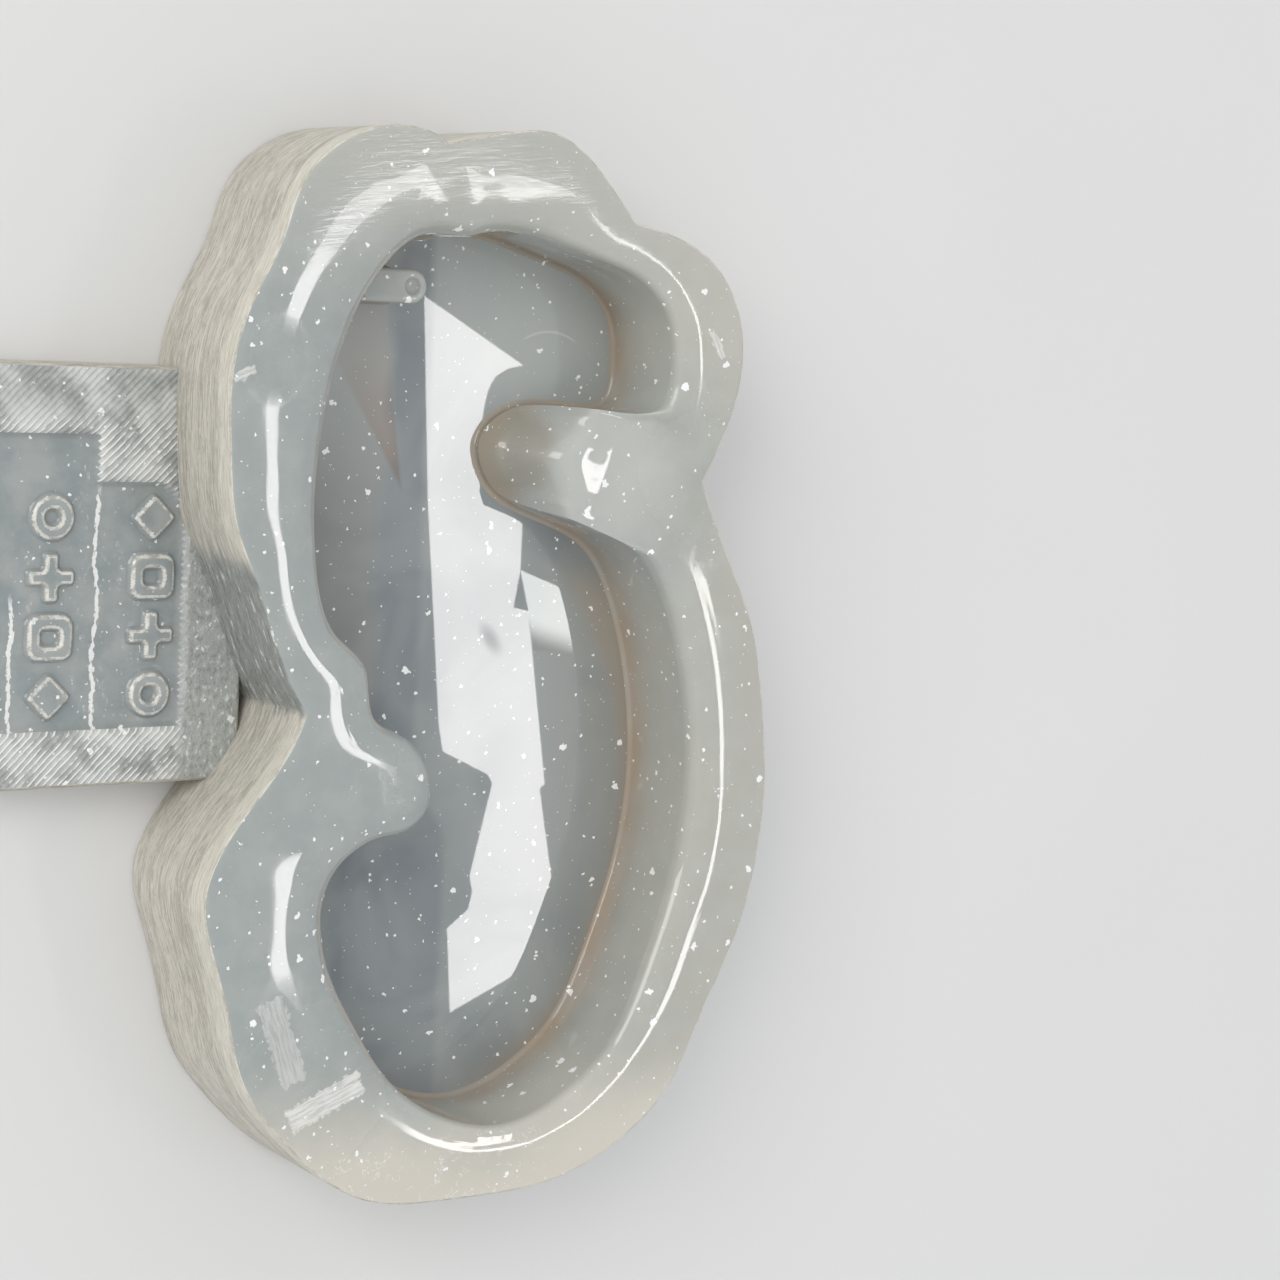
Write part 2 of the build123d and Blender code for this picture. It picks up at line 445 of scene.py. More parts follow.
def rim_height(d, points):
    """Height of the rim at this distance from the cavity's upright wall."""
    width, drop, reach, dome = rim_shape(points)
    flat = dome * np.clip(1 - d / reach, 0, 1) ** 2
    z = RIM - flat - drop * rounding(np.clip(1 - d / width, 0, 1))
    return soft_min(z, tongue_limit(d, points), RIM_BLEND)


# ---------------- the body: wall, rim, floor, underside

OUTSIDE, SMOOTH, MIRROR, UNDER = range(4)


def outside_rows(skin, top_loop):
    """The outside from its foot up, and the underside. Returns the top row."""
    below = [
        (FOOT_ROUND, 0.0), (0.3 * FOOT_ROUND, 0.06 * MM), (0.0, FOOT_ROUND),
        (0.0, FLOOR), (0.0, 0.5 * (FLOOR + RIM)),
    ]
    edge = [(0.0, RIM - EDGE_ROUND), (0.3 * EDGE_ROUND, RIM - 0.3 * EDGE_ROUND), (EDGE_ROUND, RIM)]
    sag = RIM - rim_height(distance_to(top_loop, cavity_loop), top_loop)
    rows = [skin.row(body_loop - body_normals * inset, z) for inset, z in below]
    rows += [skin.row(body_loop - body_normals * inset, z - sag) for inset, z in edge]
    levels = [z / MM for _, z in below + edge]
    skin.strips(rows, OUTSIDE, lengths_along(body_loop) / MM, levels)
    skin.cap(rows[0], UNDER, False)
    return rows[-1]


def cavity_rows(skin):
    """The floor, its fillet, the wall and most of the rounding. Returns the top row and its loop."""
    rows = []
    for k in range(FILLET_ROWS):
        turn = math.radians(90 * k / (FILLET_ROWS - 1))
        loop = cavity_loop - cavity_normals * FLOOR_FILLET * (1 - math.sin(turn))
        rows.append(skin.row(loop, FLOOR + FLOOR_FILLET * (1 - math.cos(turn))))
    foot = rim_height(0.0, cavity_loop)
    for part in (0.35, 0.7):
        rows.append(skin.row(cavity_loop, FLOOR + part * (foot - FLOOR)))
    width = rim_shape(cavity_loop)[0]
    for k in range(RIM_ROWS):
        d = width * rounding(RIM_PART * k / (RIM_ROWS - 1))
        loop = cavity_loop + cavity_normals * d[:, None]
        rows.append(skin.row(loop, rim_height(d, loop)))
    first = len(rows) - RIM_ROWS
    levels = [ROUNDING_V + RIM_PART * (k - first) / (RIM_ROWS - 1) for k in range(len(rows))]
    skin.strips(rows, SMOOTH, lengths_along(cavity_loop) / MM, levels, inward=True)
    skin.cap(rows[0], MIRROR, True)
    return rows[-1], loop


def smoothed(z, tris, fixed, times):
    """Evens the heights of the free points of a net with their neighbours'."""
    a = np.array([(t[i], t[(i + 1) % 3]) for t in tris for i in range(3)])
    a = np.vstack([a, a[:, ::-1]])
    count = np.bincount(a[:, 0], minlength=len(z))
    for _ in range(times):
        mean = np.bincount(a[:, 0], weights=z[a[:, 1]], minlength=len(z)) / np.maximum(count, 1)
        z = np.r_[z[:fixed], 0.5 * z[fixed:] + 0.5 * mean[fixed:]]
    return z


def body_skin():
    """The whole body. A fine net joins the outside to the cavity over the crest of the rim."""
    skin = Skin()
    top_loop = body_loop - body_normals * EDGE_ROUND
    outer = outside_rows(skin, top_loop)
    inner, in_loop = cavity_rows(skin)
    verts, tris = net_between(top_loop, in_loop, CREST_NET)
    z = rim_height(distance_to(verts, cavity_loop), verts)
    fixed = len(top_loop) + len(in_loop)
    z[len(top_loop) : fixed] = [skin.points[i][2] for i in inner]
    skin.net(verts, tris, (outer, inner), smoothed(z, tris, fixed, CREST_PASSES), SMOOTH)
    return skin.mesh("mould_body_skin")


body = new_object("mould_body_skin", body_skin())


# ---------------- the peg

PEG_ROOT = 1.0 * MM       # the peg starts this far inside the wall
PEG_EDGE = 0.35 * MM
PEG_NET = 0.3 * MM
# The low dimple in the peg's top, from its edge in: radius and height, in millimetres.
DIMPLE = ((0.78, 0.0), (0.72, -0.03), (0.62, -0.22), (0.5, -0.36), (0.3, -0.4), (0.1, -0.41))


def peg_plan(tip, root, middle, radius):
    """The peg's outline, anticlockwise from the start of its round tip, and its normals."""
    turns = np.radians(np.linspace(-90, 90, 33))
    way = np.c_[np.cos(turns), np.sin(turns)]
    back = np.array([(x, middle + radius) for x in np.linspace(tip, root, 12)[1:]])
    front = np.array([(x, middle - radius) for x in np.linspace(root, tip, 12)[:-1]])
    loop = np.vstack([(tip, middle) + radius * way, back, front])
    sides = [np.tile((0.0, 1.0), (len(back), 1)), np.tile((0.0, -1.0), (len(front), 1))]
    return loop, np.vstack([way] + sides)


def peg_skin():
    low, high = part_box("ring_hole_peg")
    radius = (high[1] - low[1]) / 2
    middle = (high[1] + low[1]) / 2
    tip = high[0] - radius
    top = high[2]
    loop, normals = peg_plan(tip, low[0] - PEG_ROOT, middle, radius)
    skin = Skin()
    profile = [(-0.25 * MM, FLOOR - 0.2 * MM), (-0.2 * MM, FLOOR + 0.02 * MM), (0.0, FLOOR + 0.3 * MM)]
    profile.append((0.0, 0.5 * (FLOOR + top)))
    for turn in np.radians(np.linspace(0, 90, 5)):
        profile.append((PEG_EDGE * (1 - math.cos(turn)), top - PEG_EDGE * (1 - math.sin(turn))))
    rows = [skin.row(loop - normals * inset, z) for inset, z in profile]
    skin.strips(rows, 0)
    skin.cap(rows[0], 0, False)
    around = np.radians(np.arange(0, 360, 10))
    circle = np.c_[np.cos(around), np.sin(around)]
    rings = [(tip, middle) + circle * radius * MM for radius, _ in DIMPLE]
    top_rows = [skin.row(ring, top + dz * MM) for ring, (_, dz) in zip(rings, DIMPLE)]
    skin.strips(top_rows, 0)
    skin.cap(top_rows[-1], 0, True)
    verts, tris = net_between(loop - normals * PEG_EDGE, rings[0], PEG_NET)
    skin.net(verts, tris, (rows[-1], top_rows[0]), np.full(len(verts), top), 0)
    return skin.mesh("ring_hole_peg_skin")


peg = new_object("ring_hole_peg_skin", peg_skin())


# ---------------- the pull tab

end_low, end_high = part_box("tab_end_plate")
strip_low, strip_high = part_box("tab_flex_strip")

PANEL_Z = end_high[2]
BORDER_Z = strip_high[2]
TAB_X0, TAB_Y0, TAB_Y1 = end_low[0], end_low[1], end_high[1]
PANEL_Y0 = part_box("tab_end_border_lower")[1][1]
PANEL_Y1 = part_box("tab_end_border_upper")[0][1]
STEP_Y = 13.9 * MM        # near the body the panel's upper edge is lower
STEP_X = -23.0 * MM
PANEL_X1 = -15.9 * MM
PANEL_CUT = 2.0 * MM      # the panel's corner by the body is cut off
TAB_CORNER = 2.0 * MM
TAB_ROOT_X = -11.0 * MM
TAB_ROOT_CORNER = 1.0 * MM
TAB_EDGE = 0.25 * MM
TAB_GRID = 0.22 * MM
TAB_NET = 1.3 * TAB_GRID
BLEND = 0.3 * MM
SIDE_V = [0, 0.1, 0.3, 3.2, 3.6, 3.9]     # V of the rows up the tab's side
TAB_SIDE, TAB_BORDER, TAB_PANEL = range(3)


def tab_side_loop():
    """Plan of the tab, anticlockwise, from inside the body's wall to its rounded free end."""
    root, end = TAB_ROOT_CORNER, TAB_CORNER
    corners = (
        (TAB_ROOT_X - root, TAB_Y1 - root, root, 0), (TAB_X0 + end, TAB_Y1 - end, end, 90),
        (TAB_X0 + end, TAB_Y0 + end, end, 180), (TAB_ROOT_X - root, TAB_Y0 + root, root, 270),
    )
    pts = []
    for x, y, radius, first in corners:
        for turn in np.radians(np.linspace(first, first + 90, 10)):
            pts.append((x + radius * math.cos(turn), y + radius * math.sin(turn)))
    out = []
    for a, b in zip(pts, pts[1:] + pts[:1]):
        a, b = np.array(a), np.array(b)
        n = max(1, int(round(np.linalg.norm(b - a) / TAB_GRID)))
        out += [a + (b - a) * k / n for k in range(n)]
    return np.array(out)


def panel_amount(p):
    """1 on the recessed panel, 0 on the raised border."""
    x, y = p[:, 0], p[:, 1]
    past_cut = ((x - PANEL_X1) + (y - STEP_Y) + PANEL_CUT) / math.sqrt(2)
    wide = step(PANEL_Y1 - y, BLEND) * step(STEP_X - x, BLEND)
    near = step(STEP_Y - y, BLEND) * step(PANEL_X1 - x, BLEND) * step(x - STEP_X, BLEND)
    near = near * step(-past_cut, BLEND)
    return np.clip(step(y - PANEL_Y0, BLEND) * (wide + near), 0, 1)


def tab_height(p):
    return PANEL_Z + (BORDER_Z - PANEL_Z) * (1 - panel_amount(p))


def tab_skin():
    skin = Skin()
    loop = tab_side_loop()
    normals = outward(loop)
    # the free end is only as high as the panel where the panel runs out over it
    top = tab_height(loop)
    profile = [
        (0.3 * MM, 0.0), (0.08 * MM, 0.08 * MM), (0.0, 0.3 * MM),
        (0.0, top - TAB_EDGE), (0.3 * TAB_EDGE, top - 0.3 * TAB_EDGE), (TAB_EDGE, top),
    ]
    rows = [skin.row(loop - normals * inset, z) for inset, z in profile]
    skin.strips(rows, TAB_SIDE, lengths_along(loop) / MM, SIDE_V)
    skin.cap(rows[0], TAB_SIDE, False)
    verts, tris = net_between(loop - normals * TAB_EDGE, None, TAB_NET)
    skin.net(verts, tris, (rows[-1],), tab_height(verts), TAB_BORDER)
    return skin.mesh("tab_skin")


tab = new_object("tab_skin", tab_skin())


# ---------------- the raised marks

MARK_FOOT = 0.22 * MM     # a mark's soft foot spreads this far outside its CAD outline
MARK_NET = 0.13 * MM
MARK_SLOPE = 0.5 * MM     # width of the slope from the foot to the top
MARK_SINK = 0.03 * MM     # the foot ends this far under the panel
MARK_BASE = 0.12 * MM     # the mark's own underside is this far under it
MARK_RIDGE = 0.2 * MM     # a pale line runs this far inside each mark's outline
RIDGE_HALF = 0.12 * MM    # half the pale line's width
MARK_TOP, MARK_LINE = range(2)


def mark_skin(node):
    """A soft raised mark on the outline of its CAD node, sunk a little into the panel."""
    loops = [evened(loop, 0.14 * MM, 30) for loop in chained(section_edges([node], FLOOR))]
    outer = loops[0] + outward(loops[0]) * MARK_FOOT
    inner = loops[1] - outward(loops[1]) * MARK_FOOT if len(loops) > 1 else None
    verts, tris = net_between(outer, inner, MARK_NET)
    depth = distance_to(verts, loops[0]) * np.where(is_inside(verts, loops[0]), 1, -1)
    if inner is not None:
        hole = is_inside(verts, loops[1])
        depth = np.minimum(depth, distance_to(verts, loops[1]) * np.where(hole, -1, 1))
    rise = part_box(node)[1][2] - PANEL_Z + MARK_SINK
    z = PANEL_Z - MARK_SINK + rise * step(depth - 0.04 * MM, MARK_SLOPE)
    skin = Skin()
    n = len(verts)
    skin.row(verts, z)
    skin.row(verts, PANEL_Z - MARK_BASE)
    for a, b, c in tris:
        on_line = abs((depth[a] + depth[b] + depth[c]) / 3 - MARK_RIDGE) < RIDGE_HALF
        skin.face((a, b, c), MARK_LINE if on_line else MARK_TOP)
        skin.face((c + n, b + n, a + n), MARK_TOP)
    top = np.arange(len(outer))
    skin.strip(top + n, top, MARK_TOP)
    if inner is not None:
        top = (len(outer) + np.arange(len(inner)))[::-1]
        skin.strip(top + n, top, MARK_TOP)
    return skin.mesh(node + "_skin")


MARKS = [f"{side}_mark_{n}" for side in ("root", "end") for n in (1, 2, 3, 4)]
marks = {node: new_object(node + "_skin", mark_skin(node)) for node in MARKS}


# ---------------- materials

class Nodes:
    """A material's node tree, with short calls for the nodes that these materials use."""

    def __init__(self, name):
        self.material = bpy.data.materials.new(name)
        self.material.use_nodes = True
        self.tree = self.material.node_tree
        self.shader = self.tree.nodes["Principled BSDF"]

    def feed(self, socket, value):
        if isinstance(value, bpy.types.NodeSocket):
            self.tree.links.new(value, socket)
        else:
            socket.default_value = value

    def put(self, kind, values=(), **settings):
        node = self.tree.nodes.new(kind)
        for key, value in settings.items():
            setattr(node, key, value)
        for key, value in dict(values).items():
            self.feed(node.inputs[key], value)
        return node

    def set(self, **values):
        for key, value in values.items():
            self.feed(self.shader.inputs[key.replace("_", " ")], value)

    def place(self, scale=(1, 1, 1), turn=0.0, uv=False):
        """Rest coordinates in millimetres, stretched by scale and turned about Z."""
        coords = self.put("ShaderNodeTexCoord").outputs["UV" if uv else "Object"]
        k = 1.0 if uv else 1000.0
        if turn:
            coords = self.turned(coords, turn)
        return self.stretched(coords, tuple(k * c for c in scale))

    def turned(self, place, angle):
        return self.put("ShaderNodeVectorRotate", {"Vector": place, "Angle": angle}).outputs[0]

    def stretched(self, place, scale):
        return self.put("ShaderNodeMapping", {"Vector": place, "Scale": scale}).outputs[0]

    def vector(self, what, a, b=(0, 0, 0)):
        node = self.put("ShaderNodeVectorMath", {0: a, 1: b}, operation=what)
        return node.outputs["Value" if what in ("LENGTH", "DISTANCE") else "Vector"]

    def about(self, place, centre, turn=0.0):
        """The place from this centre, turned back by an angle in degrees."""
        away = self.vector("SUBTRACT", place, centre)
        return self.turned(away, -math.radians(turn)) if turn else away

    def noise(self, place, scale=1.0, detail=4.0, rough=0.55, bend=0.0):
        values = {"Vector": place, "Scale": scale, "Detail": detail, "Roughness": rough, "Distortion": bend}
        return self.put("ShaderNodeTexNoise", values).outputs["Fac"]

    def math(self, what, a, b=0.0):
        return self.put("ShaderNodeMath", {0: a, 1: b}, operation=what).outputs[0]

    def add(self, a, b):
        return self.math("ADD", a, b)

    def minus(self, a, b):
        return self.math("SUBTRACT", a, b)

    def times(self, first, *others):
        result = first
        for other in others:
            result = self.math("MULTIPLY", result, other)
        return result

    def gap(self, value, middle):
        """How far the value is from the middle, whichever way."""
        return self.math("ABSOLUTE", self.minus(value, middle))

    def between(self, value, low, high, out_low=0.0, out_high=1.0):
        """The value's smooth way from low to high, as a number from out_low to out_high."""
        values = {"Value": value, "From Min": low, "From Max": high, "To Min": out_low, "To Max": out_high}
        return self.put("ShaderNodeMapRange", values, interpolation_type="SMOOTHSTEP").outputs["Result"]

    def mix(self, amount, a, b):
        def colour(c):
            return c if isinstance(c, bpy.types.NodeSocket) else (*c, 1.0)
        node = self.put("ShaderNodeMix", {0: amount, 6: colour(a), 7: colour(b)}, data_type="RGBA")
        return node.outputs[2]

    def axis(self, place, which):
        return self.put("ShaderNodeSeparateXYZ", {0: place}).outputs[which]

    def bump(self, height, distance, strength=1.0, under=None):
        values = {"Height": height, "Distance": distance, "Strength": strength}
        if under is not None:
            values["Normal"] = under
        return self.put("ShaderNodeBump", values).outputs[0]

    def specks(self, place, pitch, share, size, seed):
        """Sparse small flecks of dust and bubbles: 1 on a fleck. Pitch and size are millimetres."""
        bent = self.put("ShaderNodeTexNoise", {"Vector": place, "Scale": 1.6 / size, "Detail": 1.0})
        moved = self.vector("ADD", place, self.vector("MULTIPLY", bent.outputs["Color"], (size, size, size)))
        moved = self.vector("ADD", moved, (seed, 2 * seed, 3 * seed))
        values = {"Vector": moved, "Scale": 1.0 / pitch, "Randomness": 1.0}
        cells = self.put("ShaderNodeTexVoronoi", values)
        pick = self.put("ShaderNodeSeparateColor", {0: cells.outputs["Color"]})
        radius = self.times(self.between(pick.outputs[0], 0, 1, 0.25, 1.0), size / pitch / 2)
        near = self.math("LESS_THAN", cells.outputs["Distance"], radius)
        chosen = self.math("LESS_THAN", pick.outputs[1], share)
        return self.times(near, chosen)


# Colours, as linear red, green and blue.
COOL = (0.355, 0.385, 0.375)
WARM = (0.46, 0.455, 0.41)
PALE = (0.60, 0.57, 0.50)
CREAM = (0.66, 0.62, 0.54)
MOTTLED = (0.56, 0.58, 0.56)
# painted refraction: the amber along the cavity walls' foot
FOOT_REFRACTION = (0.42, 0.34, 0.255)
# painted refraction: the brownish patch on the upper wall and the tongue's brownish tip
REFRACTED_BROWN = (0.345, 0.315, 0.255)
# painted highlight: the thin warm line along the left rim's rounding
CONTOUR_HIGHLIGHT = (0.56, 0.49, 0.43)
TONGUE_PALE = (0.58, 0.58, 0.545)
# painted shade: the cavity walls darken towards the floor
WALL_SHADE = ((0.33, 0.345, 0.335), (0.45, 0.415, 0.36))

FLECK = (0.93, 0.93, 0.92)
SCUFF = (0.83, 0.82, 0.79)
CURL = (0.86, 0.84, 0.80)
# painted highlight: bright lines along the tab's bend
CREASE_HIGHLIGHT = (0.88, 0.88, 0.86)

FIBRE = ((0.50, 0.47, 0.405), (0.83, 0.79, 0.70))
FIBRE_GRAIN = (0.86, 0.83, 0.76)
BAND = ((0.70, 0.66, 0.56), (0.93, 0.90, 0.80))
JOINT = ((0.26, 0.285, 0.27), (0.42, 0.435, 0.415))
# painted highlight: ragged bright streaks on the joint
JOINT_HIGHLIGHT = (0.90, 0.90, 0.88)

FLOOR_DARK = ((0.26, 0.285, 0.29), (0.34, 0.365, 0.36))
# painted light: the floor lighter towards the top
FLOOR_TOP_LIGHT = (0.48, 0.51, 0.49)
# painted reflection: brownish on the floor's left
FLOOR_LEFT_REFLECTION = (0.235, 0.215, 0.185)
# painted reflection: the brown leaf shape on the floor
FLOOR_LEAF_REFLECTION = (0.27, 0.185, 0.145)
# painted shade: the dark strip on the floor
FLOOR_SHADE_STRIP = (0.13, 0.155, 0.19)
FLOOR_RIGHT = (0.30, 0.285, 0.25)
FLOOR_SCRATCH = (0.66, 0.67, 0.63)
# painted refraction: the brown band along the right wall's foot
FLOOR_FOOT_REFRACTION = (0.36, 0.30, 0.235)

PANEL = ((0.27, 0.305, 0.31), (0.37, 0.395, 0.385))
RIDGE = ((0.40, 0.40, 0.37), (0.74, 0.72, 0.66))
BORDER = ((0.32, 0.335, 0.325), (0.64, 0.65, 0.625))
PRINTED_LINE = (0.93, 0.93, 0.91)
GRAINS = ((0.29, 0.31, 0.295), (0.46, 0.48, 0.46), (0.82, 0.83, 0.81))


def silicone(t, colour, roughness, normal=None, soft=0.35, flecks=True, place=None):
    """Finishes a material as clear, slightly milky silicone."""
    if flecks:
        place = place or t.place()
        large = t.specks(place, 1.9, 0.5, 0.66, 3.1)
        small = t.specks(place, 0.85, 0.6, 0.28, 7.7)
        colour = t.mix(t.math("MAXIMUM", large, small), colour, FLECK)
        dust = t.specks(place, 0.42, 0.3, 0.14, 5.3)
        colour = t.mix(t.times(dust, 0.5), colour, FLECK)
    t.set(Base_Color=colour, Roughness=roughness, IOR=1.42)
    t.set(Coat_Weight=0.6, Coat_Roughness=0.006, Coat_IOR=1.45)
    t.set(Subsurface_Weight=soft, Subsurface_Radius=(1.0, 1.0, 0.95), Subsurface_Scale=0.0016)
    if normal is not None:
        t.set(Normal=normal)
    return t.material


# ---------------- the wall's outside

LAYER_SCALE = 5 / math.pi     # the wave texture's scale, which gives layers near 0.2 mm


def jointed(t, colour, streaks, height):
    """Where the tab grows out of the body the wall is smooth and grey, with ragged bright painted
    highlights.
    Returns the colour and how much of the joint a place is."""
    spot = t.place()
    y = t.add(t.axis(spot, 1), t.times(streaks, 3.0))
    joint = t.times(t.between(y, 11.4, 9.2), t.between(y, -1.6, -0.6))
    joint = t.times(joint, t.between(t.axis(spot, 0), -7.5, -8.5), t.between(height, 2.6, 3.6))
    joint_tone_and_highlight = t.noise(t.place((0.5, 1.9, 1), uv=True), 1.0, 5.0, 0.72)
    grey = t.mix(t.between(joint_tone_and_highlight, 0.35, 0.58), *JOINT)
    # painted highlight: ragged bright streaks
    grey = t.mix(t.between(joint_tone_and_highlight, 0.59, 0.62), grey, JOINT_HIGHLIGHT)
    return t.mix(t.times(joint, 0.95), colour, grey), joint


def outside_material():
    """The wall's outside: printed layers, dry and fibrous, with a pale band under the rim."""
    t = Nodes("silicone_outside")
    fibres = t.noise(t.place((0.5, 5.0, 1), uv=True), 1.0, 6.0, 0.78, 0.2)
    streaks = t.noise(t.place((0.07, 0.8, 1), uv=True), 1.0, 4.0, 0.6, 0.8)
    grain = t.noise(t.place((1.1, 9.0, 1), uv=True), 1.0, 4.0, 0.75)
    height = t.axis(t.place(uv=True), 1)
    tone = t.add(t.times(fibres, 0.75), t.times(streaks, 0.25))
    colour = t.mix(t.between(tone, 0.42, 0.58), *FIBRE)
    colour = t.mix(t.between(grain, 0.54, 0.64, 0, 0.75), colour, FIBRE_GRAIN)
    edge = t.add(height, t.times(streaks, 2.4))
    band = t.times(t.between(edge, 11.2, 12.2), t.between(height, 12.5, 12.3), 0.85)
    colour = t.mix(band, colour, t.mix(t.between(fibres, 0.35, 0.6), *BAND))
    colour, joint = jointed(t, colour, streaks, height)
    values = {"Vector": t.place((0, 1, 0), uv=True), "Scale": LAYER_SCALE, "Distortion": 0.0}
    wave = t.put("ShaderNodeTexWave", values, wave_type="BANDS", bands_direction="Y")
    relief = t.add(fibres, t.times(wave.outputs["Fac"], 0.12))
    normal = t.bump(relief, 0.0004, 0.8)
    normal = t.bump(grain, 0.0001, 0.6, normal)
    rough = t.minus(t.between(fibres, 0.3, 0.7, 0.38, 0.62), t.times(joint, 0.22))
    t.set(Base_Color=colour, Roughness=rough, IOR=1.42, Normal=normal)
    t.set(Subsurface_Weight=0.2, Subsurface_Radius=(1.0, 0.95, 0.85), Subsurface_Scale=0.0008)
    return t.material


# ---------------- the rim and the cavity's walls

# Scuffs on the rim, in millimetres: x, y, turn in degrees, length, width and strength.
SCUFFS = (
    (-7.0, -32.2, 22, 6.6, 2.0, 0.85), (-10.9, -27.2, -70, 7.0, 2.2, 0.42),
    (25.9, 26.0, -60, 2.6, 0.7, 0.7), (-15.9, 22.4, 25, 1.8, 0.7, 0.7),
)
# Where the rim is dull, in millimetres: x, y, and how far the dullness reaches.
DULL = ((-8.0, -31.0, 10.0), (1.5, -7.5, 5.5), (-13.4, 23.5, 3.6), (25.6, 15.4, 8.5))


def scuffed(t, x, y, turn, length, width, strength):
    """1 on a brushed oblong patch with ragged edges."""
    turned = t.about(t.place(), (x, y, 0), turn)
    ragged = t.noise(turned, 2.0, 3.0, 0.6)
    brushed = t.stretched(turned, (0.5, 5.0, 0.0))
    amount = t.between(t.noise(brushed, 1.0, 3.0, 0.6), 0.35, 0.6, 0.35, 1.0)
    for which, size in ((0, length), (1, width)):
        reach = t.add(t.math("ABSOLUTE", t.axis(turned, which)), t.times(ragged, 1.2))
        amount = t.times(amount, t.between(reach, size / 2 + 0.65, size / 2 + 0.5))
    return t.times(amount, strength)


def tinted_rim(t, place, mottle):
    """The rim's colours: cool on the left, warmer on the right, pale above and below."""
    x, y = t.axis(place, 0), t.axis(place, 1)
    cloud = t.minus(t.noise(place, 0.07, 3.0, 0.5), 0.5)
    across = t.minus(t.add(x, t.times(cloud, 26.0)), t.times(y, 0.12))
    colour = t.mix(t.between(across, 4, 34), COOL, WARM)
    colour = t.mix(t.between(mottle, 0.35, 0.75, 0.0, 0.22), colour, MOTTLED)
    bottom = t.add(y, t.times(cloud, 14.0))
    colour = t.mix(t.between(bottom, -29, -39, 0, 0.9), colour, CREAM)
    upper = t.add(t.times(x, 0.3), y)
    return t.mix(t.between(upper, 22, 38, 0, 0.45), colour, PALE)


def walls_painted_light(t, place, colour):
    """The walls are darker below, a painted shade, and amber along their foot, a painted refraction. The
    wall above the floor's top is brownish, also a painted refraction, and a thin warm line, a painted
    highlight, runs where the left rim's rounding turns steep."""
    x, y, z = t.axis(place, 0), t.axis(place, 1), t.axis(place, 2)
    # painted shade: darker towards the floor
    wall_shade = t.mix(t.between(t.noise(place, 0.12, 3.0), 0.35, 0.65), *WALL_SHADE)
    colour = t.mix(t.between(z, 8.6, 3.6, 0, 0.8), colour, wall_shade)
    # painted refraction: amber along the walls' foot
    foot_refraction = t.times(t.between(z, 6.6, 3.4), t.between(t.noise(place, 0.2, 2.0), 0.35, 0.65, 0.45, 0.95))
    colour = t.mix(foot_refraction, colour, FOOT_REFRACTION)
    # painted refraction: a brownish patch on the wall above the floor's top
    arch_refraction = t.times(t.between(y, 29.5, 32.5), t.between(z, 10.6, 8.4))
    arch_refraction = t.times(arch_refraction, t.between(t.noise(place, 0.16, 3.0, 0.5, 0.5), 0.42, 0.5, 0.0, 0.6))
    colour = t.mix(arch_refraction, colour, REFRACTED_BROWN)
    # painted highlight: a thin warm line where the left rim's rounding turns steep
    up = t.minus(t.axis(t.place(uv=True), 1), ROUNDING_V)
    line = t.times(t.between(up, 0.5, 0.56), t.between(up, 0.78, 0.64), t.between(x, 0.0, -4.0))
    line = t.times(line, t.between(t.noise(place, 0.25, 2.0), 0.3, 0.6, 0.35, 0.9))
    return t.mix(line, colour, CONTOUR_HIGHLIGHT)


def tongue_tone_and_refracted_tip(t, place, colour):
    """The tongue is pale, with a brownish tip that is a painted refraction."""
    away = t.vector("DISTANCE", place, (17.5, 15.5, 9.0))
    colour = t.mix(t.between(away, 8.5, 3.0, 0, 0.55), colour, TONGUE_PALE)
    # painted refraction: the brownish tip
    away = t.vector("DISTANCE", place, (10.2, 17.0, 6.0))
    return t.mix(t.between(away, 5.0, 3.2, 0, 0.55), colour, REFRACTED_BROWN)


def marked_rim(t, place, colour):
    """Scuffs on the rim, and fine pale curls in it at the bottom."""
    x, y, z = t.axis(place, 0), t.axis(place, 1), t.axis(place, 2)
    scuffs = 0.0
    for scuff in SCUFFS:
        scuffs = t.math("MAXIMUM", scuffs, scuffed(t, *scuff))
    colour = t.mix(t.times(scuffs, t.between(z, 10.5, 11.5)), colour, SCUFF)
    curls = t.between(t.gap(t.noise(place, 1.1, 2.0, 0.5, 0.6), 0.5), 0.016, 0.006)
    curls = t.times(curls, t.between(t.noise(place, 0.9, 1.0), 0.5, 0.56), t.between(y, -35.8, -37))
    curls = t.times(curls, t.between(x, -8, -5), t.between(x, 15, 11, 0.0, 0.6))
    return t.mix(curls, colour, CURL)


